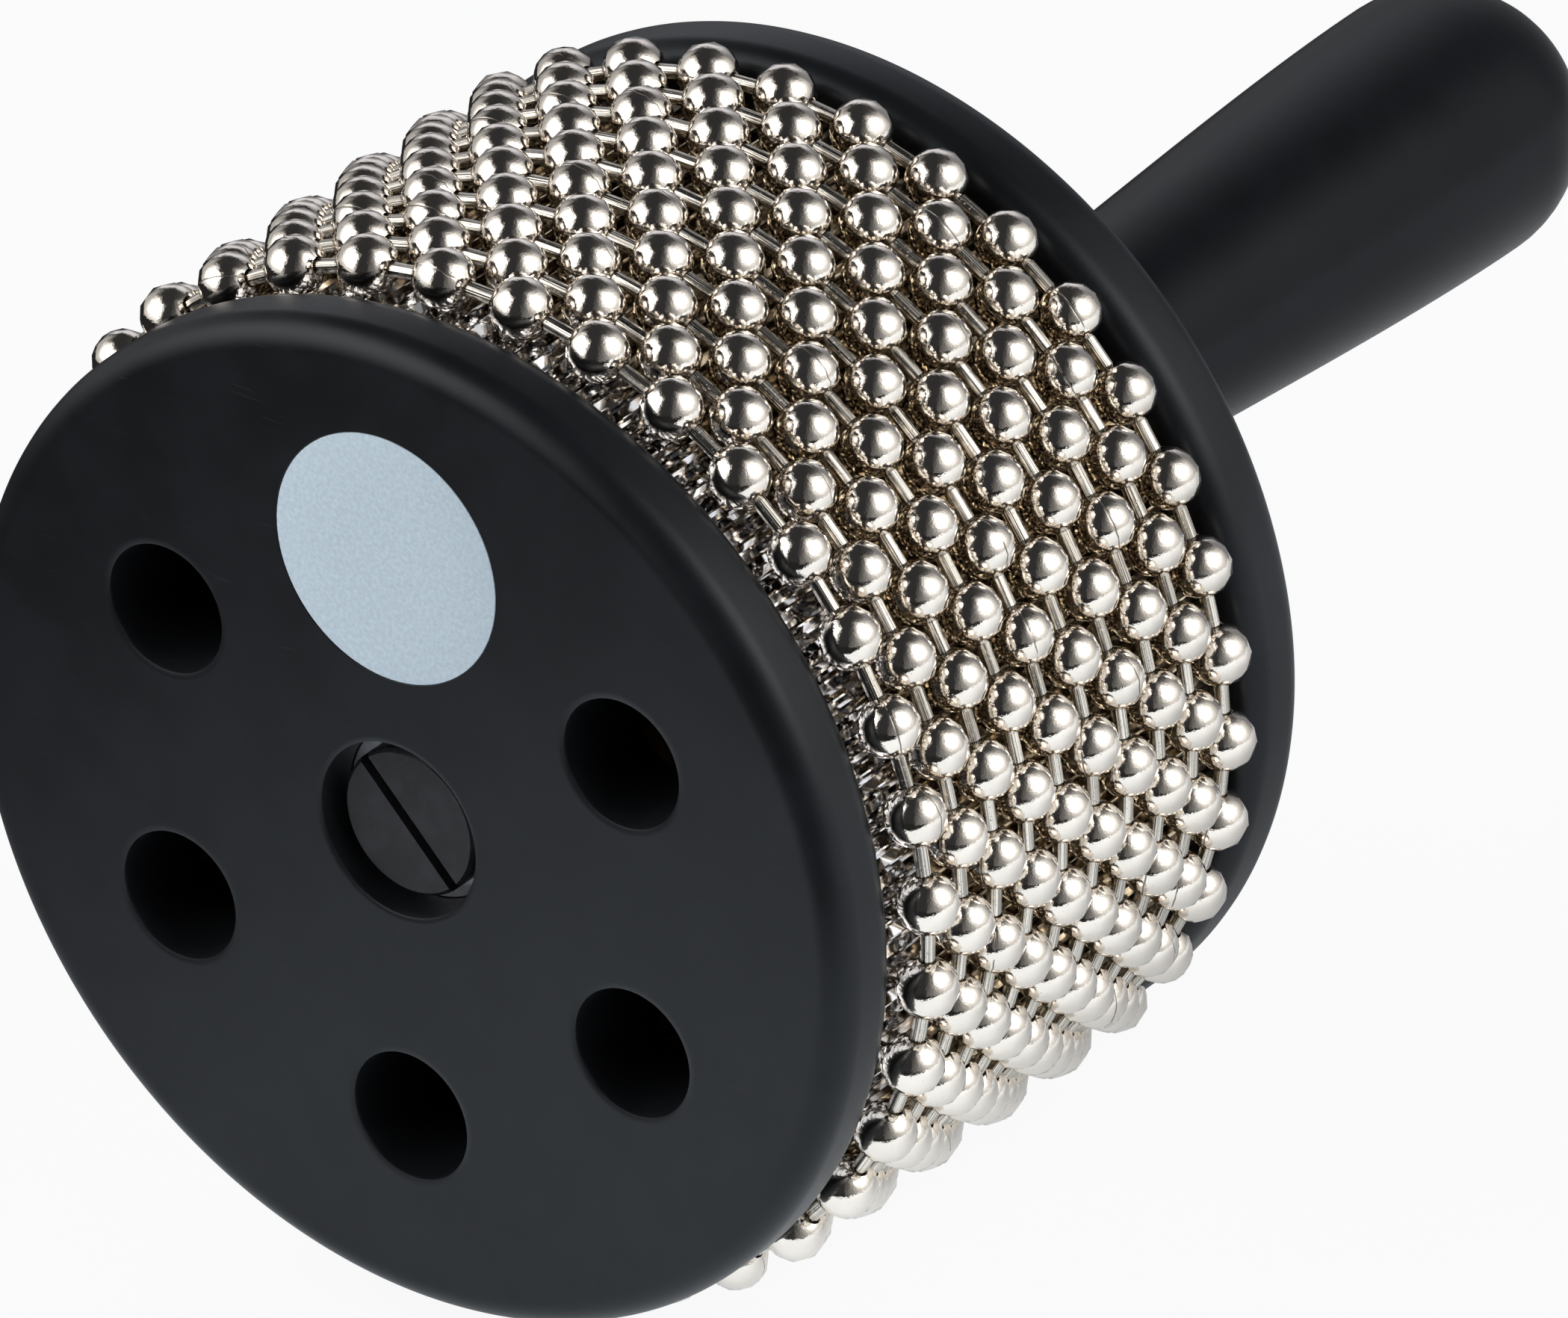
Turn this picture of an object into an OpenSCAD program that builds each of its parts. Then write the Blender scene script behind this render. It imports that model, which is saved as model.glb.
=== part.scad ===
// Cabasa: a ridged steel drum between two black discs, wrapped in ten loops of ball chain,
// on a tapered handle. It lies on its side on the lowest beads, its front disc towards -Y,
// its handle towards +Y and its badge uppermost.
// Pieces are drawn along the drum's axis, with z counted from the front face to the handle.
// Angles are seen from the front, anticlockwise from the right-hand side (+X).

/* [Discs] */
// Diameter of the front disc
front_disc_d = 106; // [102:0.5:114]
// Diameter of the rear disc
rear_disc_d = 107.6; // [102:0.2:114]
// Thickness of each disc
disc_t = 9; // [8.5:0.1:12]
// Radius of the discs' rounded rims
rim_r = 3.1; // [1:0.1:3.6]
// Height of the step on each disc that the steel cylinder slides over
spigot_h = 2; // [1:0.5:4]
// Loose fit of that step, of the washer and of the wooden core, on the radius
seat_fit = 0.1; // [0.05:0.01:0.2]

/* [Sound holes] */
// Diameter of a sound hole
hole_d = 13.4; // [10:0.1:16]
// Diameter of the circle that the holes' centres lie on
hole_ring_d = 63.2; // [54:0.2:70]
// Places on that circle, of which the badge takes the topmost
hole_places = 6; // [4:1:8]
// Bevel at the rim of a sound hole
hole_bevel = 0.4; // [0.1:0.1:0.8]

/* [Badge] */
// Diameter of the round badge
badge_d = 26.2; // [20:0.2:30]
// Height of the badge's centre above the drum's axis
badge_up = 29.6; // [27:0.2:34]
// Thickness of the badge, which lies flush in a pocket of the front face
badge_t = 0.2; // [0.1:0.05:0.4]

/* [Steel cylinder] */
// Diameter of the cylinder over its ridges
cylinder_d = 99.25; // [94:0.25:101]
// Number of ridges round the cylinder
ridges = 160; // [100:4:200]
// Height of a ridge
ridge_h = 0.7; // [0.3:0.1:1]
// Thickness of the sheet under the ridges
sheet_t = 0.5; // [0.3:0.1:1.5]

/* [Ball chain] */
// Number of chain loops along the drum
rows = 10; // [10:1:10]
// Beads in one loop
beads = 36; // [30:1:40]
// Diameter of a bead
bead_d = 6.35; // [5.5:0.05:6.8]
// Thickness of a bead's shell
bead_wall = 0.35; // [0.2:0.05:0.5]
// Diameter of the two holes in a bead
bead_hole_d = 1.9; // [1.7:0.1:2.2]
// Distance between neighbouring loops
row_pitch = 5.33; // [5:0.01:6.5]
// Free space between the front disc and the first loop
front_play = 1.42; // [0.4:0.02:2]
// Free space between the last loop and the rear disc
rear_play = 0.56; // [0.4:0.02:2]
// Running clearance between the loops and the ridges
chain_clearance = 0.3; // [0.2:0.05:0.6]
// Turn of the first loop, which sets the drum down between two lines of beads
first_turn = 2.5; // [0:0.5:10]

/* [Chain links] */
// Diameter of a link's rod
link_d = 1.5; // [1.2:0.1:1.6]
// Diameter of a link's heads, held inside the beads
link_head_d = 2.5; // [2.2:0.1:2.8]
// Length of one head
link_head_l = 0.8; // [0.5:0.1:1]
// Play of a head inside its bead
link_play = 0.3; // [0.2:0.05:0.5]

/* [Centre bolt] */
// Diameter of the bolt's shank
bolt_d = 8; // [6:0.5:8.5]
// Diameter of the bolt's head
bolt_head_d = 15.6; // [14:0.2:17]
// Thickness of the bolt's head
bolt_head_t = 3; // [2:0.1:3.4]
// Bevel round the bolt's head
bolt_bevel = 0.4; // [0.2:0.1:0.8]
// Width of the screwdriver slot
slot_w = 1.2; // [0.8:0.1:2]
// Depth of the screwdriver slot
slot_deep = 1.4; // [0.8:0.1:1.8]
// Direction of the screwdriver slot
slot_angle = -47; // [-90:1:90]
// Diameter of the recess round the bolt's head
recess_d = 18.4; // [17.6:0.2:20]
// Depth of the bolt's head below the front face
head_sink = 1.75; // [1:0.05:2]
// Bevel at the rim of the recess
recess_bevel = 0.3; // [0.1:0.1:0.6]
// Thickness of the washer
washer_t = 1.2; // [0.8:0.1:1.6]
// Loose fit of the bolt in its bores, on the radius
bolt_fit = 0.2; // [0.1:0.05:0.3]

/* [Wooden core] */
// Diameter of the core that keeps the discs apart
core_d = 20; // [16:0.5:26]
// Depth of the core's seat in each disc
core_seat = 1; // [0.5:0.1:1.2]

/* [Handle] */
// Length of the handle behind the rear disc
handle_l = 112.8; // [90:0.2:140]
// Diameter of the handle at the rear disc
neck_d = 20.4; // [19:0.2:26]
// Largest diameter of the handle, near its round end
grip_d = 29; // [26:0.2:34]
// Length of the round end, from the largest diameter to the tip
end_l = 14.8; // [8:0.2:18]
// Share of the handle's side over which the neck stays slender
neck_share = 0.32; // [0.2:0.02:0.5]
// Share of the handle's side over which the grip flattens to its largest diameter
grip_share = 0.28; // [0.2:0.02:0.5]
// Diameter of the handle's tenon in the rear disc
tenon_d = 18; // [16:0.5:19]
// Length of the tenon
tenon_l = 5; // [3:0.5:6]
// Diameter of the brass insert
insert_d = 12; // [11:0.5:14]
// Length of the brass insert
insert_l = 20; // [16:1:24]
// Length of the bolt's thread in the insert
thread_l = 17; // [10:1:22]
// Free depth of the handle's bore past the bolt's tip
tip_room = 4; // [2:0.5:8]
// Glued fit of the tenon, of the insert and of the badge, on the radius
glue_fit = 0.05; // [0.02:0.01:0.1]

/* [Hidden] */
$fn = 96;

// Steps along the handle's side and round its end
side_steps = 16;
end_steps = 10;
// Overrun of every cut past the face that it opens
cut = 0.5;

// The loops
bead_r = bead_d / 2;
bead_inner_r = bead_r - bead_wall;
cylinder_r = cylinder_d / 2;
loop_r = cylinder_r + chain_clearance + bead_r;
bead_step = 360 / beads;
bead_chord = 2 * loop_r * sin(bead_step / 2);
drum_l = front_play + bead_d + (rows - 1) * row_pitch + rear_play;
first_row_z = disc_t + front_play + bead_r;
link_head_r = link_head_d / 2;
link_head_face = sqrt(pow(bead_inner_r, 2) - pow(link_head_r, 2)) - link_play;

// The steel cylinder
root_r = cylinder_r - ridge_h;
cylinder_inner_r = root_r - sheet_t;
spigot_r = cylinder_inner_r - seat_fit;

// Places along the axis, counted from the front face
rear_disc_z = disc_t + drum_l;
rear_face_z = rear_disc_z + disc_t;
recess_deep = head_sink + bolt_head_t + washer_t;
tenon_z = rear_face_z - tenon_l;
bolt_tip_z = tenon_z + thread_l;
tip_z = rear_face_z + handle_l;

// Where the drum rests: the lowest beads stand nearest to straight down
hole_step = 360 / hole_places;
row_turn = bead_step / 2;
low_turn = min([for (k = [0, 1]) let (a = turn_from_down(k)) min(a, bead_step - a)]);
rest_h = loop_r * cos(low_turn) + bead_r;
middle_z = tip_z / 2;

// Angle of a row's beads past straight down, within one step
function turn_from_down(k) =
    let (a = first_turn + k * row_turn + 90)
    a - bead_step * floor(a / bead_step);

// A point on the cubic curve through a and d with the handles b and c
function curve_point(a, b, c, d, t) =
    pow(1 - t, 3) * a + 3 * pow(1 - t, 2) * t * b + 3 * (1 - t) * t * t * c + t * t * t * d;

// Lays a piece drawn along the drum's axis on its side, on the ground
module laid_down() {
    translate([0, -middle_z, rest_h])
        rotate([-90, 0, 0])
            children();
}

// Puts what is drawn at the axis at an angle round it, at a distance from it
module round_axis(angle, distance) {
    rotate([0, 0, -angle])
        translate([distance, 0, 0])
            children();
}

// Half of a disc's section: rounded rim, flat faces, from z = 0 to the disc's thickness
module disc_section(disc_d) {
    flat_r = disc_d / 2 - rim_r;
    square([flat_r, disc_t]);
    translate([0, rim_r])
        square([disc_d / 2, disc_t - 2 * rim_r]);
    for (z = [rim_r, disc_t - rim_r])
        translate([flat_r, z])
            circle(r = rim_r);
}

// A disc with the step for the cylinder, and the core's seat, on the side that faces the drum
module turned_disc(disc_d) {
    difference() {
        union() {
            rotate_extrude()
                disc_section(disc_d);
            translate([0, 0, disc_t - rim_r])
                cylinder(r = spigot_r, h = rim_r + spigot_h);
        }
        translate([0, 0, disc_t - core_seat])
            cylinder(r = core_d / 2 + seat_fit, h = core_seat + spigot_h + cut);
        translate([0, 0, -cut])
            cylinder(r = bolt_d / 2 + bolt_fit, h = disc_t + 2 * cut);
    }
}

// One sound hole with a bevelled rim, as the shape that is cut away
module sound_hole() {
    translate([0, 0, -cut])
        cylinder(d = hole_d, h = disc_t + spigot_h + 2 * cut);
    bevel_cut(hole_d / 2, hole_bevel);
}

// The bevel of a bore's rim in the front face
module bevel_cut(bore_r, bevel) {
    translate([0, 0, -cut])
        cylinder(r1 = bore_r + bevel + cut, r2 = bore_r, h = bevel + cut);
}

module front_disc() {
    color([0.12, 0.12, 0.13])
        laid_down()
            difference() {
                turned_disc(front_disc_d);
                translate([0, 0, -cut])
                    cylinder(d = recess_d, h = recess_deep + cut);
                bevel_cut(recess_d / 2, recess_bevel);
                round_axis(90, badge_up)
                    translate([0, 0, -cut])
                        cylinder(r = badge_d / 2 + glue_fit, h = badge_t + cut);
                for (k = [1:hole_places - 1])
                    round_axis(90 + k * hole_step, hole_ring_d / 2)
                        sound_hole();
            }
}

module label_badge() {
    color([0.70, 0.78, 0.83])
        laid_down()
            round_axis(90, badge_up)
                cylinder(d = badge_d, h = badge_t);
}

module rear_disc() {
    color([0.12, 0.12, 0.13])
        laid_down()
            translate([0, 0, rear_face_z])
                mirror([0, 0, 1])
                    difference() {
                        turned_disc(rear_disc_d);
                        translate([0, 0, -cut])
                            cylinder(r = tenon_d / 2 + glue_fit, h = tenon_l + cut);
                    }
}

// The thin sheet with fine ridges along it, held between the discs on their steps
module steel_cylinder() {
    step = 360 / ridges;
    outline = [
        for (k = [0:ridges - 1], half = [0, 1])
            let (a = (k + half / 2) * step, r = half == 0 ? cylinder_r : root_r)
            [r * cos(a), r * sin(a)]
    ];
    color([0.75, 0.75, 0.78])
        laid_down()
            translate([0, 0, disc_t])
                difference() {
                    linear_extrude(height = drum_l)
                        polygon(outline);
                    translate([0, 0, -cut])
                        cylinder(r = cylinder_inner_r, h = drum_l + 2 * cut, $fn = 6 * ridges);
                }
}

module core_dowel() {
    color([0.72, 0.55, 0.36])
        laid_down()
            translate([0, 0, disc_t - core_seat])
                difference() {
                    cylinder(d = core_d, h = drum_l + 2 * core_seat);
                    translate([0, 0, -cut])
                        cylinder(r = bolt_d / 2 + bolt_fit, h = drum_l + 2 * core_seat + 2 * cut);
                }
}

// Half of the handle's section: the slender neck swells to the grip and ends in a quarter ellipse
module handle_section() {
    side_l = handle_l - end_l;
    neck = [neck_d / 2, 0];
    neck_pull = neck + [0, neck_share * side_l];
    grip = [grip_d / 2, side_l];
    grip_pull = grip - [0, grip_share * side_l];
    side = [
        for (i = [0:side_steps])
            curve_point(neck, neck_pull, grip_pull, grip, i / side_steps)
    ];
    end = [
        for (i = [1:end_steps])
            let (a = 90 * i / end_steps)
            [grip_d / 2 * cos(a), side_l + end_l * sin(a)]
    ];
    polygon(concat([[0, 0]], side, end));
}

module handle() {
    bore_l = bolt_tip_z + tip_room - tenon_z;
    color([0.12, 0.12, 0.13])
        laid_down()
            translate([0, 0, rear_face_z])
                difference() {
                    union() {
                        rotate_extrude()
                            handle_section();
                        translate([0, 0, -tenon_l])
                            cylinder(d = tenon_d, h = tenon_l + cut);
                    }
                    translate([0, 0, -tenon_l - cut])
                        cylinder(r = insert_d / 2 + glue_fit, h = insert_l + cut);
                    translate([0, 0, -tenon_l])
                        cylinder(r = bolt_d / 2 + bolt_fit, h = bore_l);
                }
}

// Slotted bolt down the whole drum, its head sunk in the front disc's recess
module centre_bolt() {
    color([0.16, 0.16, 0.17])
        laid_down()
            translate([0, 0, head_sink])
                difference() {
                    union() {
                        cylinder(d1 = bolt_head_d - 2 * bolt_bevel, d2 = bolt_head_d, h = bolt_bevel);
                        translate([0, 0, bolt_bevel])
                            cylinder(d = bolt_head_d, h = bolt_head_t - bolt_bevel);
                        cylinder(d = bolt_d, h = bolt_tip_z - head_sink);
                    }
                    rotate([0, 0, -slot_angle])
                        translate([-bolt_head_d / 2 - cut, -slot_w / 2, -cut])
                            cube([bolt_head_d + 2 * cut, slot_w, slot_deep + cut]);
                }
}

module bolt_washer() {
    color([0.55, 0.55, 0.57])
        laid_down()
            translate([0, 0, recess_deep - washer_t])
                difference() {
                    cylinder(r = recess_d / 2 - seat_fit, h = washer_t);
                    translate([0, 0, -cut])
                        cylinder(r = bolt_d / 2 + bolt_fit, h = washer_t + 2 * cut);
                }
}

module threaded_insert() {
    color([0.78, 0.62, 0.28])
        laid_down()
            translate([0, 0, tenon_z])
                difference() {
                    cylinder(d = insert_d, h = insert_l);
                    translate([0, 0, -cut])
                        cylinder(r = bolt_d / 2 + glue_fit, h = insert_l + 2 * cut);
                }
}

// One hollow bead at the axis' distance, its two holes turned towards its neighbours
module bead() {
    difference() {
        sphere(r = bead_r);
        sphere(r = bead_inner_r);
        for (side = [0, 1])
            mirror([0, side, 0])
                rotate([0, 0, bead_step / 2])
                    rotate([-90, 0, 0])
                        cylinder(d = bead_hole_d, h = bead_d);
    }
}

// One rod with its two heads, along y, its middle at the origin
module link() {
    head_end = bead_chord / 2 - link_head_face + link_head_l;
    rod_end = head_end - link_head_l;
    rotate([90, 0, 0])
        rotate_extrude()
            polygon([
                [0, -head_end], [link_head_r, -head_end], [link_head_r, -rod_end],
                [link_d / 2, -rod_end], [link_d / 2, rod_end],
                [link_head_r, rod_end], [link_head_r, head_end], [0, head_end]
            ]);
}

// Turn of a loop: the odd loops stand alike, the even ones are half a step further round
function loop_turn(row) = first_turn + (row % 2 == 0 ? row_turn : 0);

module chain_beads(row) {
    color([0.78, 0.78, 0.80])
        laid_down()
            translate([0, 0, first_row_z + (row - 1) * row_pitch])
                for (k = [0:beads - 1])
                    round_axis(loop_turn(row) + k * bead_step, loop_r)
                        bead();
}

module chain_links(row) {
    color([0.70, 0.70, 0.72])
        laid_down()
            translate([0, 0, first_row_z + (row - 1) * row_pitch])
                for (k = [0:beads - 1])
                    round_axis(loop_turn(row) + (k + 1 / 2) * bead_step, loop_r * cos(bead_step / 2))
                        link();
}

front_disc();
label_badge();
steel_cylinder();
core_dowel();
rear_disc();
handle();
centre_bolt();
bolt_washer();
threaded_insert();
chain_beads(1);  // chain_01_beads
chain_beads(2);  // chain_02_beads
chain_beads(3);  // chain_03_beads
chain_beads(4);  // chain_04_beads
chain_beads(5);  // chain_05_beads
chain_beads(6);  // chain_06_beads
chain_beads(7);  // chain_07_beads
chain_beads(8);  // chain_08_beads
chain_beads(9);  // chain_09_beads
chain_beads(10);  // chain_10_beads
chain_links(1);  // chain_01_links
chain_links(2);  // chain_02_links
chain_links(3);  // chain_03_links
chain_links(4);  // chain_04_links
chain_links(5);  // chain_05_links
chain_links(6);  // chain_06_links
chain_links(7);  // chain_07_links
chain_links(8);  // chain_08_links
chain_links(9);  // chain_09_links
chain_links(10);  // chain_10_links
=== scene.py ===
"""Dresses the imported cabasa: surfaces and finishes for every piece, a pale studio and a camera.

Lengths are in metres. The drum's axis runs along Y, its front face towards -Y, and angles round
the axis are seen from the front, anticlockwise from the right-hand side (+X).
"""

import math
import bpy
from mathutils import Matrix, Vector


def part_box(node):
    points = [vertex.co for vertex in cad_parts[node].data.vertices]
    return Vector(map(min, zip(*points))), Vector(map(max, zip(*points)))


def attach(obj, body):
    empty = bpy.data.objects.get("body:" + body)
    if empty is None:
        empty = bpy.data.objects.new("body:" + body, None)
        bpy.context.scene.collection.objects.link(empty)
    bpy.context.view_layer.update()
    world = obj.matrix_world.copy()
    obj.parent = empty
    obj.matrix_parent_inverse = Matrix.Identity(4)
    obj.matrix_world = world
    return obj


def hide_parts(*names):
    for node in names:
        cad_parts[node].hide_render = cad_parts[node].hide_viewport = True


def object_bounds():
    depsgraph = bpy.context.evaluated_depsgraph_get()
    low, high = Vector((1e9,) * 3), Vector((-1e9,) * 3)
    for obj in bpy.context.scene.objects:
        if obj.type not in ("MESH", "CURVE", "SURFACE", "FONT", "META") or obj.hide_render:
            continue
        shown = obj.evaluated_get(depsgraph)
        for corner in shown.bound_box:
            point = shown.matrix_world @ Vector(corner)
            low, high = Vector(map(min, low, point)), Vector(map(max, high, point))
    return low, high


bl_info = {
    "name": "Cabasa",
    "version": (1, 0, 0),
    "blender": (4, 5, 0),
    "location": "View3D > Sidebar > Cabasa",
    "description": "Builds the surfaces, finishes and studio of a cabasa on its packed frame",
    "category": "Add Mesh",
}

from functools import cached_property

import bmesh
import bpy
import numpy as np
from bpy.props import FloatProperty, FloatVectorProperty, IntProperty, PointerProperty
from mathutils import Matrix, Vector

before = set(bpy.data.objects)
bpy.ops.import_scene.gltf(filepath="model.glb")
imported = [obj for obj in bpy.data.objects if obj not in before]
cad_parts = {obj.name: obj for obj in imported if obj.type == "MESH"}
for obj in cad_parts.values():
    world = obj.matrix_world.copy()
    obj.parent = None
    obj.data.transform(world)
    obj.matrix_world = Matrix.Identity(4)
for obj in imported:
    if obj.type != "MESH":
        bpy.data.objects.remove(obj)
CAD_BOX = [list(corner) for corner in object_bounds()]

MM = 0.001
TURN = 2 * math.pi
# Direction of the drum's axis
AXIS_WAY = np.array([0, 1, 0])
# What the names of the scene's property groups start with
PREFIX = "cabasa_"

# Points nearer to each other than this are merged, so that seams and poles close
MERGE_DISTANCE = 2e-6
# Narrow flat rings of this width keep the bent normals of the edges off the broad faces
GUARD = 0.4 * MM

# Segments round the discs and the handle, a multiple of a disc's sectors
AROUND = 384
SECTORS = 6
# Segments along the arcs and the sides of a sector, and across the discs' rims
ARC_STEPS, SIDE_STEPS = AROUND // SECTORS, 18
FRONT_RIM_STEPS, REAR_RIM_STEPS = 12, 10
# Segments round the badge, along the handle's side and along its round end
BADGE_STEPS = 96
GRIP_STEPS, CAP_STEPS = 40, 18
# Rings of points along the steel cylinder
STATIONS = 5

# Loops, and the rings and sides of a bead, whose last ring is the waist of its hollow
ROWS = 10
BEAD_RINGS, BEAD_SIDES = 8, 12
# Sides of a rod, and the most UV lengths that its pattern is shifted by
ROD_SIDES = 10
MOST_SHIFT = 40
BEAD_SEED, ROD_SEED = 11, 23

# The camera's sensor in mm, the photograph's width and the focal length in pixels, and how far
# the camera sees
SENSOR_W = 36
PHOTO_W, FOCAL_PX = 2099, 28849.0761
CLIP_END = 20

# Glow of the lamps' dark surroundings, which polished metal sees where no lamp stands
DARK_LEVEL = 0.035


def span(node, axis):
    """A node's least and greatest coordinate along an axis."""
    return tuple(getattr(corner, axis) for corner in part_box(node))


def middle(node, axis):
    """Middle of a node's span along an axis."""
    return sum(span(node, axis)) / 2


def half(node, axis):
    """Half of a node's size along an axis."""
    low, high = span(node, axis)
    return (high - low) / 2


# Places that the frame gives: the axis, the faces along it and the largest radii
AXIS_Z = middle("front_disc", "z")
FACE_Y, FRONT_STEP_Y = span("front_disc", "y")
REAR_STEP_Y, REAR_FACE_Y = span("rear_disc", "y")
CYLINDER_Y = span("steel_cylinder", "y")
TENON_Y, TIP_Y = span("handle", "y")
BADGE_Y = span("label_badge", "y")
BADGE_Z = middle("label_badge", "z")
BADGE_R = half("label_badge", "z")
FRONT_R = half("front_disc", "z")
REAR_R = half("rear_disc", "z")
GRIP_R = half("handle", "x")
CYLINDER_R = half("steel_cylinder", "x")

# The dome that the lamps stand on
DOME_MIDDLE = (0, -0.05, AXIS_Z)
DOME_R = 0.7
DOME_STEPS = 24


def length(name, description, default_mm):
    """A length, its default in millimetres."""
    return FloatProperty(
        name=name, description=description, default=default_mm * MM, min=0,
        precision=5, subtype="DISTANCE", unit="LENGTH",
    )


def share(name, description, default):
    """A part of a whole, from 0 to 1."""
    return FloatProperty(
        name=name, description=description, default=default, min=0, max=1, subtype="FACTOR"
    )


def degrees(name, description, default):
    """An angle, its default in degrees."""
    return FloatProperty(
        name=name, description=description, default=math.radians(default), subtype="ANGLE"
    )


def colour(name, description, default):
    """A scene linear colour."""
    return FloatVectorProperty(
        name=name, description=description, default=default, min=0, max=1, size=3,
        subtype="COLOR",
    )


class CabasaDiscs(bpy.types.PropertyGroup):
    """Sizes of the two discs and of the badge."""

    rim_r: length("Rim radius", "Radius of the discs' rounded rims", 3.1)
    step_h: length("Step height", "Height of the step that the cylinder slides over", 2)
    step_r: length("Step radius", "Radius of that step", 48.325)
    hole_d: length("Sound hole", "Diameter of a sound hole", 13.4)
    hole_circle_d: length("Hole circle", "Diameter of the circle of the holes' centres", 63.2)
    hole_bevel: length("Hole bevel", "Bevel at the rim of a sound hole", 0.4)
    recess_r: length("Recess radius", "Radius of the recess round the bolt's head", 9.2)
    recess_deep: length("Recess depth", "Depth of the recess", 5.95)
    recess_bevel: length("Recess bevel", "Bevel at the rim of the recess", 0.3)
    seat_r: length("Seat radius", "Radius of the wooden core's seat", 10.1)
    seat_deep: length("Seat depth", "Depth of the wooden core's seat", 1)
    bore_r: length("Bore radius", "Radius of the bore for the bolt", 4.2)
    socket_r: length("Socket radius", "Radius of the handle's socket in the rear disc", 9.05)
    badge_edge: length("Badge edge", "Width of the badge's rolled edge", 0.1)
    badge_fit: length("Badge fit", "Play of the badge in its pocket", 0.05)


class CabasaCylinder(bpy.types.PropertyGroup):
    """Sizes of the ridged sheet."""

    ridges: IntProperty(name="Ridges", description="Ridges round the cylinder", default=160, min=3)
    ridge_h: length("Ridge height", "Height of a ridge", 0.7)
    sheet_t: length("Sheet", "Thickness of the sheet under the ridges", 0.5)


class CabasaChain(bpy.types.PropertyGroup):
    """Sizes of the ball chain."""

    beads: IntProperty(name="Beads", description="Beads in one loop", default=36, min=3)
    bead_d: length("Bead", "Diameter of a bead", 6.34)
    hole_d: length("Bead hole", "Diameter of a bead's holes", 1.9)
    hollow_d: length("Bead hollow", "Diameter of a bead's hollow", 5.2)
    clearance: length("Clearance", "Clearance between the loops and the ridges", 0.3)
    real_bead_d: length("Bead seat", "Bead diameter that the loops are laid out for", 6.35)
    rod_d: length("Rod", "Diameter of a link's rod", 1.5)
    head_d: length("Rod head", "Diameter of a link's heads", 2.5)
    rod_end: length("Rod end", "Distance from a link's middle to its heads", 2.395)
    head_l: length("Head length", "Length of a link's head", 0.8)
    first_turn: degrees("First turn", "Turn of the first loop", 2.5)


class CabasaHandle(bpy.types.PropertyGroup):
    """Sizes of the handle."""

    neck_d: length("Neck", "Diameter at the rear disc", 20.4)
    end_l: length("Round end", "Length from the largest diameter to the tip", 14.8)
    neck_share: share("Neck share", "Share of the side over which the neck stays slender", 0.32)
    grip_share: share("Grip share", "Share of the side over which the grip flattens", 0.28)
    tenon_d: length("Tenon", "Diameter of the tenon", 18)
    insert_r: length("Insert bore", "Radius of the bore for the brass insert", 6.05)
    insert_l: length("Insert length", "Length of the brass insert", 20)
    bore_r: length("Bore", "Radius of the bore past the insert", 4.2)
    bore_l: length("Bore length", "Depth of the whole bore from the tenon's face", 21)


class CabasaFinishes(bpy.types.PropertyGroup):
    """Colours of the finishes."""

    plastic: colour("Disc plastic", "Moulded black plastic", (0.0078, 0.0086, 0.0104))
    grip: colour("Handle plastic", "Satin black of the handle", (0.0046, 0.0051, 0.0066))
    nickel: colour("Bead nickel", "Plating of the beads", (0.85, 0.788, 0.712))
    rod: colour("Rod nickel", "Plating of the rods", (0.84, 0.785, 0.70))
    steel: colour("Ridged steel", "The ridged sheet", (0.80, 0.80, 0.82))
    # Painted shade and painted glints of the sheet under the loops
    painted_shade: colour("Painted shade", "The sheet under the loops", (0.12, 0.09, 0.06))
    painted_glint: colour("Streaks", "Bright streaks in the tarnish", (0.76, 0.64, 0.46))
    badge: colour("Badge", "Plain film of the badge", (0.62, 0.75, 0.85))
    wood: colour("Core wood", "Turned wood of the core", (0.52, 0.33, 0.17))
    bolt: colour("Bolt", "Blackened steel of the bolt", (0.018, 0.018, 0.021))
    zinc: colour("Washer", "Zinc of the washer", (0.46, 0.47, 0.50))
    brass: colour("Insert", "Brass of the threaded insert", (0.72, 0.50, 0.20))


class CabasaView(bpy.types.PropertyGroup):
    """The camera's place, given round the middle of the front face."""

    azimuth: degrees("Azimuth", "Turn of the view round the drum", -37.6151)
    elevation: degrees("Elevation", "Height of the view", 29.0971)
    roll: degrees("Roll", "Roll of the camera", -1.9657)
    distance: length("Distance", "Distance along the view", 2058.9666)
    left: length("Left", "Offset of the front face to the left of the view", 36.9285)
    down: length("Down", "Offset of the front face below the view", 16.3925)
    focal: FloatProperty(
        name="Focal length", description="Focal length in mm for the sensor's width",
        default=FOCAL_PX / PHOTO_W * SENSOR_W, min=1,
    )


def sizes(group):
    """One of the scene's property groups, by its short name."""
    return getattr(bpy.context.scene, PREFIX + group)


# Surfaces


def around_axis(radius, along, angle, axis_z=AXIS_Z):
    """Points at a distance from an axis, a place along it and an angle round it:
    x = r cos a, y = along, z = axis + r sin a."""
    radius, along, angle = np.broadcast_arrays(radius, along, angle)
    return np.stack(
        [radius * np.cos(angle), along, axis_z + radius * np.sin(angle)], axis=-1
    )


def revolved(profile, around=AROUND, axis_z=AXIS_Z):
    """A profile of (radius, along) pairs turned round the axis, one row for each pair and one
    column for each of the equal angles."""
    radius, along = np.asarray(profile, dtype=float).T
    angle = TURN * np.arange(around) / around
    return around_axis(radius[:, None], along[:, None], angle[None, :], axis_z)


def arc(centre, radius, start, end, steps):
    """Points (c0 + r cos t, c1 + r sin t) for t in equal steps from start to end, in degrees."""
    t = np.radians(np.linspace(start, end, steps + 1))
    return np.stack([centre[0] + radius * np.cos(t), centre[1] + radius * np.sin(t)], axis=1)


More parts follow.
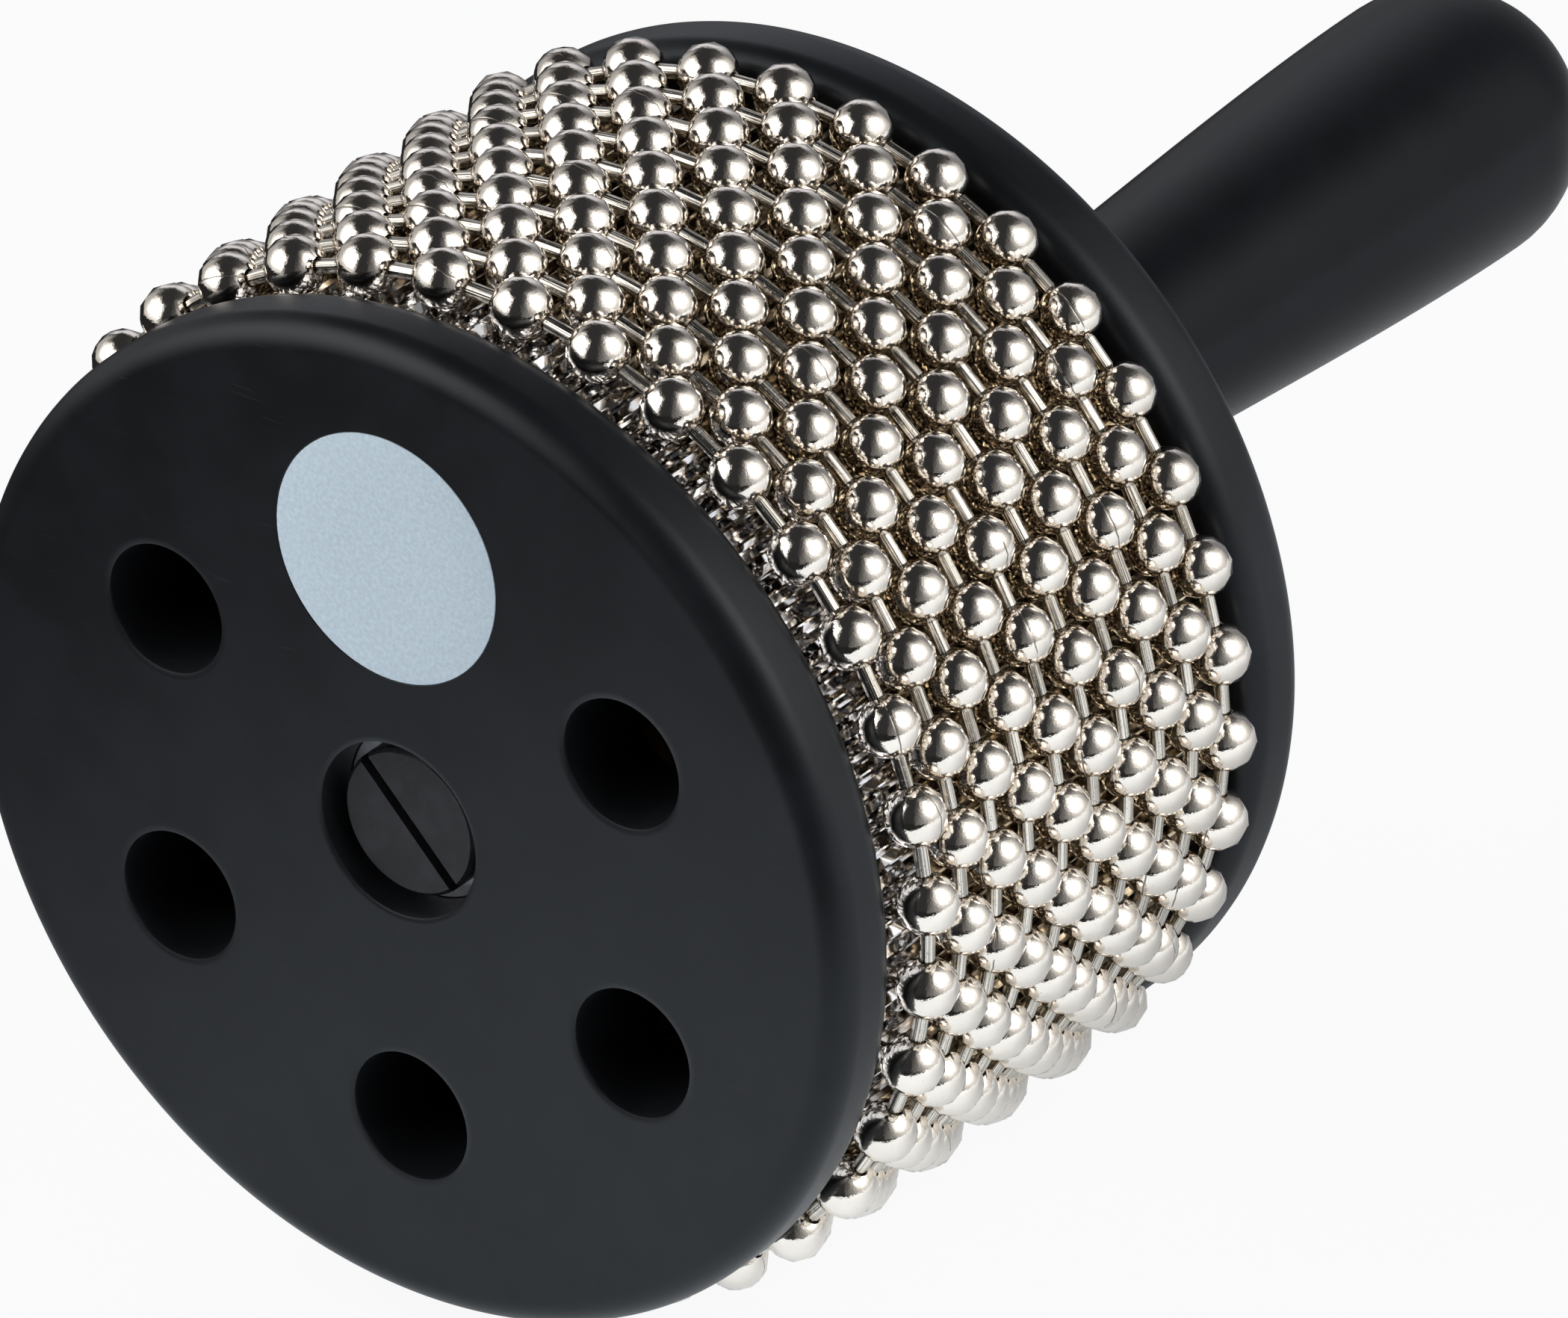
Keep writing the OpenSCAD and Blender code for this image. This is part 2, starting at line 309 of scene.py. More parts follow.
class Skin:
    """The surfaces of one piece: grids of points, joined into quads with a UV for each corner."""

    def __init__(self):
        self.points, self.faces, self.uvs = [], [], []
        self.count = 0

    def add(self, points, wrap=(False, True), uv_shift=None):
        """Adds one grid (rows, columns, 3) or a batch of them. Quad (i, j) joins the points
        (i, j), (i, j+1), (i+1, j+1), (i+1, j), and a wrapped direction closes on itself. U
        grows with the row and V with the column, from 0 to 1, each grid with its own shift."""
        points = np.asarray(points, dtype=float)
        if points.ndim == 3:
            points = points[None]
        batch, rows, columns = points.shape[:3]
        spans = (rows if wrap[0] else rows - 1, columns if wrap[1] else columns - 1)
        i, j = (index.ravel() for index in np.indices(spans))
        corner_i = np.stack([i, i, i + 1, i + 1], axis=1)
        corner_j = np.stack([j, j + 1, j + 1, j], axis=1)
        faces = (corner_i % rows) * columns + corner_j % columns
        start = self.count + rows * columns * np.arange(batch)
        uv = np.stack([corner_i / spans[0], corner_j / spans[1]], axis=-1)
        uv = np.broadcast_to(uv, (batch, *uv.shape))
        if uv_shift is not None:
            uv = uv + np.asarray(uv_shift)[:, None, None, :]
        self.points.append(points.reshape(-1, 3))
        self.faces.append((faces[None] + start[:, None, None]).reshape(-1, 4))
        self.uvs.append(uv.reshape(-1, 2))
        self.count += batch * rows * columns
        return self

    def mesh(self, name):
        """The grids as one mesh with its UV map."""
        mesh = bpy.data.meshes.new(name)
        mesh.from_pydata(np.concatenate(self.points), [], np.concatenate(self.faces))
        layer = mesh.uv_layers.new(name="UVMap")
        layer.data.foreach_set("uv", np.concatenate(self.uvs).ravel())
        return mesh

    def make(self, name, material, body="root", rings=None, tones=None, smooth_angle=32):
        """Makes the object. Points that coincide are merged, faces are turned outwards, and
        edges sharper than the angle in degrees stay sharp. Balls, which come with their rings,
        sides and middles, keep their points. Tones are one number for each point."""
        mesh = self.mesh(name)
        if tones is not None:
            mesh.attributes.new("tone", "FLOAT", "POINT").data.foreach_set("value", tones)
        work = bmesh.new()
        work.from_mesh(mesh)
        if rings is None:
            bmesh.ops.remove_doubles(work, verts=work.verts, dist=MERGE_DISTANCE)
        bmesh.ops.recalc_face_normals(work, faces=work.faces)
        work.to_mesh(mesh)
        work.free()
        mesh.shade_smooth()
        if rings is None:
            mesh.set_sharp_from_angle(angle=math.radians(smooth_angle))
        else:
            shade_balls(mesh, *rings)
        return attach(placed(name, mesh, material), body)


def placed(name, mesh, material):
    """An object of the scene for the mesh, with its finish."""
    mesh.materials.append(material)
    piece = bpy.data.objects.new(name, mesh)
    bpy.context.scene.collection.objects.link(piece)
    return piece


def shade_balls(mesh, rings, sides, middles):
    """Shades a batch of balls from their middles: on the faces between the rings 0 and
    rings - 2, the normal at a point is the direction from the ball's middle. Those two rings
    are sharp edges. Point number n stands in ring (n // sides) % rings."""
    points = np.empty(3 * len(mesh.vertices))
    mesh.vertices.foreach_get("co", points)
    ends = np.empty(2 * len(mesh.edges), dtype=np.int64)
    mesh.edges.foreach_get("vertices", ends)
    ring = (ends.reshape(-1, 2) // sides) % rings
    edge = mesh.attributes.new("sharp_edge", "BOOLEAN", "EDGE")
    edge.data.foreach_set("value", (ring[:, 0] == ring[:, 1]) & np.isin(ring[:, 0], (0, rings - 2)))
    corner = np.empty(len(mesh.loops), dtype=np.int64)
    mesh.loops.foreach_get("vertex_index", corner)
    # Four corners to a face, and one face to a side between two rings
    band = (np.arange(len(corner)) // 4 // sides) % rings
    normals = points.reshape(-1, 3)[corner] - middles[corner // (rings * sides)]
    normals /= np.linalg.norm(normals, axis=1, keepdims=True)
    normals[band >= rings - 2] = 0
    mesh.normals_split_custom_set(normals)


# Materials


def python_operator(operation, reflected=False):
    """A method that adds a Math node for one of Python's operators on two values."""
    def method(self, other):
        return self.math(operation, *((other, self) if reflected else (self, other)))
    return method


class Signal:
    """A value in a node tree. Python's operators on it add the Math nodes."""

    __add__ = __radd__ = python_operator("ADD")
    __mul__ = __rmul__ = python_operator("MULTIPLY")
    __sub__, __rsub__ = python_operator("SUBTRACT"), python_operator("SUBTRACT", True)
    __truediv__, __rtruediv__ = python_operator("DIVIDE"), python_operator("DIVIDE", True)

    def __init__(self, tree, socket):
        self.tree = tree
        self.socket = socket

    def math(self, operation, *values):
        """A Math node on the values."""
        settings = {"operation": operation}
        return self.tree.add("ShaderNodeMath", settings, dict(enumerate(values)))

    def __abs__(self):
        return self.math("ABSOLUTE", self)

    def fraction(self):
        return self.math("FRACT", self)

    def exponential(self):
        return self.math("EXPONENT", self)

    def at_least(self, least):
        return self.math("MAXIMUM", self, least)

    def rise(self, low, high):
        """0 below low and 1 above high with a smooth step between. With low above high it
        falls instead."""
        values = {"Value": self, "From Min": low, "From Max": high}
        return self.tree.add("ShaderNodeMapRange", {"interpolation_type": "SMOOTHSTEP"}, values)


class Tree:
    """The node tree of a material or a world, emptied first."""

    def __init__(self, owner):
        self.owner = owner
        owner.use_nodes = True
        self.nodes = owner.node_tree.nodes
        self.links = owner.node_tree.links
        self.nodes.clear()

    def add(self, kind, settings=None, values=None, output=0):
        """Adds a node of a type. Its settings are set first, then its sockets get values or
        links. Returns one of its outputs."""
        node = self.nodes.new(kind)
        for key, value in (settings or {}).items():
            setattr(node, key, value)
        for key, value in (values or {}).items():
            if isinstance(value, Signal):
                self.links.new(value.socket, node.inputs[key])
            else:
                node.inputs[key].default_value = value
        return Signal(self, node.outputs[output])

    def mixed(self, mask, first, second):
        """Colour mix, the first colour where the mask is 0 and the second where it is 1."""
        settings = {"data_type": "RGBA"}
        return self.add("ShaderNodeMix", settings, {0: mask, 6: rgba(first), 7: rgba(second)}, 2)

    def shades(self, mask, base, low, high):
        """Colour mix from the base times low to the base times high."""
        return self.mixed(mask, tinted(base, low), tinted(base, high))

    @cached_property
    def place(self):
        """Object coordinates, made once."""
        return self.add("ShaderNodeTexCoord", output="Object")

    def uv_place(self):
        """The piece's own UV map."""
        return self.add("ShaderNodeUVMap", {"uv_map": "UVMap"})

    def part(self, place, axis):
        """One coordinate of a place, by its letter."""
        return self.add("ShaderNodeSeparateXYZ", {}, {"Vector": place}, axis)

    def noise(
        self, size, detail=2.0, roughness=0.5, distortion=0.0,
        scale=None, rotation=(0, 0, 0), place=None,
    ):
        """Noise from 0 to 1, with features about the given size apart, in object coordinates
        if no place is given. A scale under 1 draws them out."""
        place = place or self.place
        if scale:
            values = {"Vector": place, "Rotation": rotation, "Scale": scale}
            place = self.add("ShaderNodeMapping", {}, values)
        values = {
            "Vector": place, "Scale": 1 / size, "Detail": detail, "Roughness": roughness,
            "Distortion": distortion,
        }
        return self.add("ShaderNodeTexNoise", {}, values, output="Fac")

    def scratches(self, rotation, size, coverage):
        """Fine lines in patches: noise drawn out along one direction and cut off high, 1 on a
        line. More coverage cuts it off lower."""
        lines = self.noise(size, 1.0, 0.4, scale=(0.04, 1, 1), rotation=rotation)
        patches = self.noise(14 * size, 1.0)
        return lines.rise(0.74 - coverage, 0.79 - coverage) * patches.rise(0.45, 0.6)

    def surface(self, tone, roughness, height, depth, strength, **constants):
        """Finishes the tree with the Principled shader. Its bump stands the depth proud where
        the height is 1. Constant sockets are named with underscores for their spaces."""
        bump = {"Height": height, "Distance": depth, "Strength": strength}
        normal = self.add("ShaderNodeBump", {}, bump)
        values = {key.replace("_", " "): value for key, value in constants.items()}
        values.update({"Base Color": tone, "Roughness": roughness, "Normal": normal})
        return self.finish(self.add("ShaderNodeBsdfPrincipled", {}, values))

    def emission(self, tint, strength, kind="ShaderNodeEmission"):
        """A shader that glows. A world has its own kind."""
        return self.add(kind, {}, {"Color": rgba(tint), "Strength": strength})

    def blend(self, mask, first, second):
        """Shader mix, the first where the mask is 0 and the second where it is 1."""
        return self.add("ShaderNodeMixShader", {}, {0: mask, 1: first, 2: second})

    def ray(self, kind):
        """1 for rays of that kind and 0 for others."""
        return self.add("ShaderNodeLightPath", output=f"Is {kind} Ray")

    def finish(self, shader, output="ShaderNodeOutputMaterial"):
        """Links the shader to the tree's output. Returns the material or world."""
        self.links.new(shader.socket, self.nodes.new(output).inputs["Surface"])
        return self.owner


def rgba(value):
    """A colour as a socket takes it. Signals pass through."""
    return value if isinstance(value, Signal) else (*value, 1)


def tinted(value, factor):
    """A colour times a factor, with no channel above 1."""
    return tuple(min(1.0, channel * factor) for channel in value)


def material_tree(name):
    """The tree of the material with that name, made where there is none."""
    return Tree(bpy.data.materials.get(name) or bpy.data.materials.new(name))


def moulded_plastic(name, base, roughness, relief, sheen):
    """Black plastic: fine moulded grain, broad clouds in the gloss, hair scratches and dust."""
    tree = material_tree(name)
    grain = tree.noise(0.35 * MM, 3.0, 0.6)
    clouds = tree.noise(9 * MM, 3.0, 0.55)
    scratch = tree.scratches((0.3, 0.7, 0.2), 0.3 * MM, 0.02)
    cross = tree.scratches((1.1, 0.1, 1.4), 0.3 * MM, 0.0)
    dust = tree.noise(0.5 * MM, 1.0).rise(0.74, 0.8)
    marks = scratch.at_least(cross)
    tone = tree.shades(clouds.rise(0.3, 0.7), base, 0.8, 1.25)
    tone = tree.mixed(marks * 0.25, tone, (0.03, 0.03, 0.032))
    tone = tree.mixed(dust * 0.2, tone, (0.04, 0.04, 0.04))
    roughness = roughness + (clouds - 0.5) * 0.08 + (grain - 0.5) * 0.1 + marks * 0.08
    height = grain * relief - marks * 0.4 * relief
    return tree.surface(
        tone, roughness, height, 0.02 * MM, 0.35,
        Specular_IOR_Level=sheen, Specular_Tint=(0.88, 0.94, 1, 1),
    )


def disc_plastic():
    """The plastic that both discs are moulded from."""
    base = sizes("finishes").plastic
    return moulded_plastic("Disc plastic", base, roughness=0.37, relief=1.0, sheen=0.25)


def bead_nickel(base):
    """Bright plating: orange peel, tiny pits and scratches, and the rolled seam from hole to
    hole, which stands where V, with the bead's own shift, is a half past a whole number."""
    tree = material_tree("Bead nickel")
    along = tree.uv_place()
    seam_u, seam_v = tree.part(along, "X"), tree.part(along, "Y")
    tone = tree.add("ShaderNodeAttribute", {"attribute_name": "tone"}, output="Fac")
    peel = tree.noise(1.1 * MM)
    fine = tree.noise(0.24 * MM, 1.0, 0.6)
    pits = tree.noise(0.22 * MM, 1.0).rise(0.72, 0.78)
    haze = tree.noise(2.6 * MM).rise(0.42, 0.72)
    scratch = tree.scratches((0.4, 0.9, 0.3), 0.12 * MM, 0.03)
    wander = (tree.noise(1.5 * MM, 1.0) - 0.5) * 0.008
    off_seam = abs(seam_v.fraction() - 0.5 + wander)
    last_u = 1 - 2 / BEAD_RINGS
    outside = seam_u.rise(last_u + 0.01, last_u - 0.01)
    gaping = tree.noise(1.9 * MM).rise(0.3, 0.45)
    open_seam = off_seam.rise(0.0052, 0.0032) * outside * gaping
    lip = off_seam.rise(0.014, 0.006) * outside
    shade = tree.shades(tone, base, 0.97, 1.03)
    shade = tree.mixed(haze * 0.25, shade, tinted(base, 0.86))
    shade = tree.mixed(pits * 0.35, shade, (0.25, 0.2, 0.15))
    shade = tree.mixed(open_seam * 0.75, shade, (0.06, 0.045, 0.03))
    roughness = 0.055 + fine * 0.03 + haze * 0.05 + scratch * 0.1 + open_seam * 0.3
    height = peel * 0.4 + fine * 0.9 - scratch * 0.08 - lip * 0.35 - open_seam * 0.9
    return tree.surface(shade, roughness, height, 0.03 * MM, 0.55, Metallic=1.0)


def rod_nickel(base):
    """Plated wire: die lines along each rod, dark flecks in them."""
    tree = material_tree("Rod nickel")
    along = tree.uv_place()
    lines = tree.noise(1.0, 2.0, 0.6, scale=(1.2, 34, 1), place=along)
    broad = tree.noise(1.0, 1.0, scale=(0.8, 11, 1), place=along)
    flecks = tree.noise(0.3 * MM).rise(0.6, 0.72)
    shade = tree.shades(lines.rise(0.4, 0.6), base, 0.42, 1)
    shade = tree.mixed(flecks * 0.4, shade, tinted(base, 0.45))
    roughness = 0.09 + lines * 0.1 + flecks * 0.12
    height = lines + broad * 2.6 - flecks * 0.3
    return tree.surface(shade, roughness, height, 0.06 * MM, 0.8, Metallic=1.0)


def ridged_steel(base, shade_tone, glint_tone):
    """Rolled sheet: hair lines along the ridges and rubbed spots across them. From the first
    loop on, the sheet is rougher and painted dark brown as shade, with painted glints in golden
    streaks."""
    tree = material_tree("Ridged steel")
    along = tree.part(tree.place, "Y")
    ripples = tree.noise(2.5 * MM, 0.0, scale=(1, 0.08, 1))
    hairs = tree.noise(0.12 * MM, 2.0, 0.6, scale=(1, 0.03, 1))
    rub = tree.noise(0.25 * MM, scale=(0.3, 1, 0.3)).rise(0.6, 0.75)
    spots = tree.noise(4 * MM, 3.0)
    streaks = tree.noise(0.7 * MM, 1.0, scale=(1, 0.3, 1)).rise(0.46, 0.62)
    # Painted shade under the loops, rising from 5.5 to 10 mm past the sheet's front end, with
    # painted glints in streaks within it
    painted_shade = along.rise(CYLINDER_Y[0] + 5.5 * MM, CYLINDER_Y[0] + 10 * MM)
    shade = tree.shades(spots.rise(0.5, 0.75) * 0.3, base, 1, 0.8)
    shade = tree.mixed(painted_shade, shade, tree.mixed(streaks, shade_tone, glint_tone))
    shade = tree.mixed(rub * 0.15, shade, tinted(base, 0.5))
    roughness = 0.03 + hairs * 0.03 + spots * 0.03 + rub * 0.06 + painted_shade * 0.1
    height = ripples + hairs * 0.01
    return tree.surface(shade, roughness, height, 0.03 * MM, 0.06, Metallic=1.0)


def badge_film(base):
    """Plain satin film of the badge, faintly mottled and brushed."""
    tree = material_tree("Badge film")
    mottle = tree.noise(0.45 * MM, 3.0, 0.6)
    brushed = tree.noise(0.12 * MM, scale=(0.08, 1, 1))
    clouds = tree.noise(5 * MM)
    shade = tree.shades(mottle.rise(0.3, 0.7), base, 0.9, 1.08)
    shade = tree.mixed(brushed.rise(0.35, 0.8) * 0.3, shade, tinted(base, 0.86))
    roughness = 0.42 + (mottle - 0.5) * 0.15 + (clouds - 0.5) * 0.15
    return tree.surface(shade, roughness, mottle + brushed * 0.4, 0.01 * MM, 0.5)


def blackened_steel(base):
    """Oiled black steel: fine grain, broad clouds, small pits and a soft sheen."""
    tree = material_tree("Blackened steel")
    grain = tree.noise(0.18 * MM, 3.0, 0.6)
    clouds = tree.noise(2.5 * MM)
    pits = tree.noise(0.4 * MM, 1.0).rise(0.7, 0.78)
    shade = tree.shades(clouds.rise(0.35, 0.7), base, 0.8, 1.3)
    shade = tree.mixed(pits * 0.4, shade, (0.06, 0.05, 0.045))
    roughness = 0.26 + (grain - 0.5) * 0.12 + pits * 0.15
    height = grain - pits * 0.5
    return tree.surface(shade, roughness, height, 0.01 * MM, 0.5, Specular_IOR_Level=0.22)


def turned_wood(base):
    """Turned hardwood: long fibres along the axis, growth bands and darker pores."""
    tree = material_tree("Core wood")
    bands = tree.noise(3 * MM, 3.0, 0.6, 0.4, scale=(1, 0.06, 1))
    fibres = tree.noise(0.3 * MM, scale=(1, 0.05, 1))
    pores = tree.noise(0.25 * MM, 1.0, scale=(1, 0.15, 1)).rise(0.66, 0.74)
    shade = tree.shades(bands.rise(0.35, 0.65), base, 0.75, 1.15)
    shade = tree.mixed(fibres * 0.5, shade, tinted(base, 0.7))
    shade = tree.mixed(pores * 0.7, shade, tinted(base, 0.35))
    roughness = 0.55 + fibres * 0.2
    return tree.surface(
        shade, roughness, fibres - pores, 0.03 * MM, 0.6, Specular_IOR_Level=0.35
    )


def plain_metal(name, base, roughness, spangle):
    """A small fitting's metal: spangle of the given size and fine grain in tone and gloss."""
    tree = material_tree(name)
    cells = tree.add("ShaderNodeTexVoronoi", {}, {"Vector": tree.place, "Scale": 1 / spangle})
    grain = tree.noise(0.2 * MM, 3.0, 0.6)
    shade = tree.shades(cells.rise(0.1, 0.8), base, 0.82, 1.1)
    shade = tree.mixed(grain * 0.3, shade, tinted(base, 0.7))
    roughness = roughness + (grain - 0.5) * 0.15
    return tree.surface(shade, roughness, grain, 0.01 * MM, 0.4, Metallic=1.0)


def dress_node(node, material):
    """Gives a CAD node its finish."""
    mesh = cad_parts[node].data
    mesh.materials.clear()
    mesh.materials.append(material)


# Pieces


def sector_middle(number):
    """Angle of a sector's middle. The first sector stands at the top."""
    return TURN / 4 + TURN * number / SECTORS


def sector_edge(number, radii, along):
    """Closed edge of one of a disc's sectors: along the wide arc, in along one side, back along
    the narrow arc and out along the other side."""
    inner_r, outer_r = radii
    top = sector_middle(number)
    low, high = top - TURN / 2 / SECTORS, top + TURN / 2 / SECTORS
    arc_share = np.arange(ARC_STEPS) / ARC_STEPS
    side_share = np.arange(SIDE_STEPS) / SIDE_STEPS
    radius = np.concatenate([
        np.full(ARC_STEPS, outer_r), outer_r + (inner_r - outer_r) * side_share,
        np.full(ARC_STEPS, inner_r), inner_r + (outer_r - inner_r) * side_share,
    ])
    angle = np.concatenate([
        low + (high - low) * arc_share, np.full(SIDE_STEPS, high),
        high + (low - high) * arc_share, np.full(SIDE_STEPS, low),
    ])
    return around_axis(radius, along, angle)


def sunk_sector(number, radii, distance, rings):
    """A sector of the front face with a round opening, as one sheet from the sector's edge down
    into the opening. Each ring is a radius and a depth, and each of its points lies on the line
    from the opening's centre to a point of the edge."""
    edge = sector_edge(number, radii, FACE_Y)
    centre = around_axis(distance, FACE_Y, sector_middle(number))
    ray = edge - centre
    ray /= np.linalg.norm(ray, axis=1, keepdims=True)
    ring_radius, depth = np.asarray(rings, dtype=float).T[:, :, None, None]
    return np.concatenate([edge[None], centre + ray * ring_radius + AXIS_WAY * depth])


def plain_sector(number, radii, along):
    """A sector with no hole, drawn in to the pole at its middle."""
    edge = sector_edge(number, radii, along)
    pole = around_axis(np.mean(radii), along, sector_middle(number))
    return np.stack([edge, edge * 0.5 + pole * 0.5, np.broadcast_to(pole, edge.shape)])


class CABASA_OT_front_disc(bpy.types.Operator):
    """Front disc with its sound holes, recess and step"""

    bl_idname = "cabasa.front_disc"
    bl_label = "Front Disc"

    def execute(self, context):
        discs = sizes("discs")
        flat_r = FRONT_R - discs.rim_r
        back_y = FRONT_STEP_Y - discs.step_h
        edge_r = discs.recess_r + discs.recess_bevel
        face_radii = (edge_r + GUARD, flat_r - GUARD)
        back_radii = (discs.seat_r + GUARD, discs.step_r - GUARD)
        bore, bevel = discs.hole_d / 2, discs.hole_bevel
        hole = [
            (bore + 2.2 * bevel, 0), (bore + bevel, 0), (bore + 0.3 * bevel, 0.3 * bevel),
            (bore, bevel), (bore, FRONT_STEP_Y - FACE_Y),
        ]
        pocket_r, pocket_deep = BADGE_R + discs.badge_fit, BADGE_Y[1] - BADGE_Y[0]
        pocket = [
            (pocket_r + GUARD, 0), (pocket_r + discs.badge_fit, 0),
            (pocket_r, discs.badge_fit), (pocket_r, pocket_deep), (0, pocket_deep),
        ]
        skin = Skin()
        for number in range(1, SECTORS):
            sheet = sunk_sector(number, face_radii, discs.hole_circle_d / 2, hole)
            back = sector_edge(number, back_radii, FRONT_STEP_Y)
            skin.add(np.concatenate([sheet, back[None]]))
        skin.add(sunk_sector(0, face_radii, BADGE_Z - AXIS_Z, pocket))
        skin.add(plain_sector(0, back_radii, FRONT_STEP_Y))
        rim = np.concatenate([
            [(flat_r - GUARD, FACE_Y)],
            arc((flat_r, FACE_Y + discs.rim_r), discs.rim_r, -90, 0, FRONT_RIM_STEPS),
            arc((flat_r, back_y - discs.rim_r), discs.rim_r, 0, 90, FRONT_RIM_STEPS),
            [
                (discs.step_r, back_y), (discs.step_r, FRONT_STEP_Y),
                (discs.step_r - GUARD, FRONT_STEP_Y),
            ],
        ])
        seat_y = back_y - discs.seat_deep
        recess = [
            (edge_r + GUARD, FACE_Y), (edge_r, FACE_Y),
            (discs.recess_r + 0.3 * discs.recess_bevel, FACE_Y + 0.4 * discs.recess_bevel),
            (discs.recess_r, FACE_Y + discs.recess_bevel),
            (discs.recess_r, FACE_Y + discs.recess_deep),
            (discs.bore_r, FACE_Y + discs.recess_deep), (discs.bore_r, seat_y),
            (discs.seat_r, seat_y), (discs.seat_r, FRONT_STEP_Y),
            (discs.seat_r + GUARD, FRONT_STEP_Y),
        ]
        skin.add(revolved(rim)).add(revolved(recess))
        disc = skin.make("front_disc_moulding", disc_plastic())
        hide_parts("front_disc")
        return {"FINISHED"}


class CABASA_OT_rear_disc(bpy.types.Operator):
    """Rear disc with its step and the handle's socket"""

    bl_idname = "cabasa.rear_disc"
    bl_label = "Rear Disc"

    def execute(self, context):
        discs = sizes("discs")
        flat_r = REAR_R - discs.rim_r
        drum_y = REAR_STEP_Y + discs.step_h
        profile = np.concatenate([
            [(discs.socket_r, REAR_FACE_Y)],
            arc((flat_r, REAR_FACE_Y - discs.rim_r), discs.rim_r, 90, 0, REAR_RIM_STEPS),
            arc((flat_r, drum_y + discs.rim_r), discs.rim_r, 0, -90, REAR_RIM_STEPS),
            [
                (discs.step_r, drum_y), (discs.step_r, REAR_STEP_Y), (discs.seat_r, REAR_STEP_Y),
                (discs.seat_r, drum_y + discs.seat_deep), (discs.bore_r, drum_y + discs.seat_deep),
                (discs.bore_r, TENON_Y), (discs.socket_r, TENON_Y),
            ],
        ])
        skin = Skin().add(revolved(profile), wrap=(True, True))
        disc = skin.make("rear_disc_moulding", disc_plastic())
        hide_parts("rear_disc")
        return {"FINISHED"}


class CABASA_OT_badge(bpy.types.Operator):
    """Plain round badge on the front face"""

    bl_idname = "cabasa.badge"
    bl_label = "Badge"

    def execute(self, context):
        edge = sizes("discs").badge_edge
        low, high = BADGE_Y
        profile = [
            (0, low), (0.5 * BADGE_R, low), (BADGE_R - 1.2 * edge, low),
            (BADGE_R - 0.4 * edge, low + 0.25 * edge), (BADGE_R, low + 0.8 * edge),
            (BADGE_R, high), (0.5 * BADGE_R, high), (0, high),
        ]
        film = badge_film(sizes("finishes").badge)
        skin = Skin().add(revolved(profile, BADGE_STEPS, BADGE_Z))
        badge = skin.make("plain_badge", film)
        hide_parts("label_badge")
        return {"FINISHED"}


class CABASA_OT_steel_cylinder(bpy.types.Operator):
    """Ridged steel sheet between the discs"""

    bl_idname = "cabasa.steel_cylinder"
    bl_label = "Steel Cylinder"

    def execute(self, context):
        steel = sizes("cylinder")
        # Flat flanks between a narrow crest at whole steps and a narrow floor between them
        place = np.array([-0.05, 0.05, 0.43, 0.57])
        height = np.array([1, 1, 0, 0])
        step = np.arange(steel.ridges)[:, None]
        angle = (TURN * (step + place) / steel.ridges).ravel()
        outer = CYLINDER_R + steel.ridge_h * (np.tile(height, steel.ridges) - 1)
        inner = np.full(len(angle), CYLINDER_R - steel.ridge_h - steel.sheet_t)
        stations = np.linspace(*CYLINDER_Y, STATIONS)
        radius = np.stack([outer] * STATIONS + [inner] * STATIONS)
        along = np.concatenate([stations, stations[::-1]])
        points = around_axis(radius, along[:, None], angle[None, :])
        tones = sizes("finishes")
        finish = ridged_steel(tones.steel, tones.painted_shade, tones.painted_glint)
        skin = Skin().add(points, wrap=(True, True))
        sheet = skin.make("ridged_sheet", finish, smooth_angle=25)
        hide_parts("steel_cylinder")
        return {"FINISHED"}


class CABASA_OT_handle(bpy.types.Operator):
    """Turned handle with its tenon and bore"""

    bl_idname = "cabasa.handle"
    bl_label = "Handle"

    def execute(self, context):
        shape = sizes("handle")
        side_l = TIP_Y - REAR_FACE_Y - shape.end_l
        # The side is the cubic curve of these control points, the round end a quarter ellipse
        control = np.array([
            (shape.neck_d / 2, REAR_FACE_Y),
            (shape.neck_d / 2, REAR_FACE_Y + shape.neck_share * side_l),
            (GRIP_R, REAR_FACE_Y + (1 - shape.grip_share) * side_l),
            (GRIP_R, REAR_FACE_Y + side_l),
        ])
        t = np.linspace(0, 1, GRIP_STEPS + 1)[:, None]
        weights = np.concatenate(
            [(1 - t) ** 3, 3 * (1 - t) ** 2 * t, 3 * (1 - t) * t ** 2, t ** 3], axis=1
        )
        side = weights @ control
        a = np.linspace(0, TURN / 4, CAP_STEPS + 1)[1:]
        cap = np.stack([GRIP_R * np.cos(a), control[3, 1] + shape.end_l * np.sin(a)], axis=1)
        cap[-1, 0] = 0
        bore_end = TENON_Y + shape.bore_l
        inside = [
            (0, bore_end), (shape.bore_r, bore_end),
            (shape.bore_r, TENON_Y + shape.insert_l), (shape.insert_r, TENON_Y + shape.insert_l),
            (shape.insert_r, TENON_Y), (shape.tenon_d / 2, TENON_Y),
            (shape.tenon_d / 2, REAR_FACE_Y),
        ]
        profile = np.concatenate([inside, side, cap])
        base = sizes("finishes").grip
        satin = moulded_plastic("Handle plastic", base, roughness=0.33, relief=0.6, sheen=0.18)
        skin = Skin().add(revolved(profile))
        handle = skin.make("turned_handle", satin, smooth_angle=40)
        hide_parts("handle")
        return {"FINISHED"}


